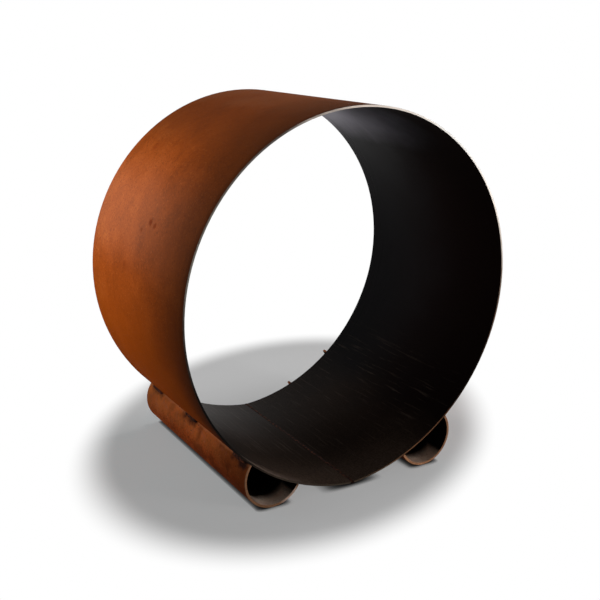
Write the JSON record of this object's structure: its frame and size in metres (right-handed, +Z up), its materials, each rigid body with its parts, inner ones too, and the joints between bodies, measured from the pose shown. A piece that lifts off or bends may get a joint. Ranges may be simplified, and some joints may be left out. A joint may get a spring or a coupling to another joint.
{
  "type": "firewood log rack",
  "caption": "Welded rack that holds firewood: an open-ended drum of rolled weathering steel lying on split-pipe feet, rusted outside and dark inside.",
  "frame": {"origin": "on the floor, midway between the feet and halfway along them", "axes": "+Z up, +Y along the drum's axis from the front rim to the back, +X to the right seen from the front"},
  "size_m": [0.8, 0.52, 0.8229],
  "materials": {
    "drum_plate": "rust patina outside, black mill scale inside",
    "pipe_steel": "mottled red-brown rust",
    "weld_metal": "heat-darkened weld bead"
  },
  "bodies": {
    "root": {"drum_shell": "drum_plate", "left_foot": "pipe_steel", "right_foot": "pipe_steel", "drum_seam_weld": "weld_metal", "left_outer_front_weld": "weld_metal", "left_outer_middle_weld": "weld_metal", "left_outer_rear_weld": "weld_metal", "left_inner_front_weld": "weld_metal", "left_inner_middle_weld": "weld_metal", "left_inner_rear_weld": "weld_metal", "right_outer_front_weld": "weld_metal", "right_outer_middle_weld": "weld_metal", "right_outer_rear_weld": "weld_metal", "right_inner_front_weld": "weld_metal", "right_inner_middle_weld": "weld_metal", "right_inner_rear_weld": "weld_metal"}
  },
  "joints": []
}
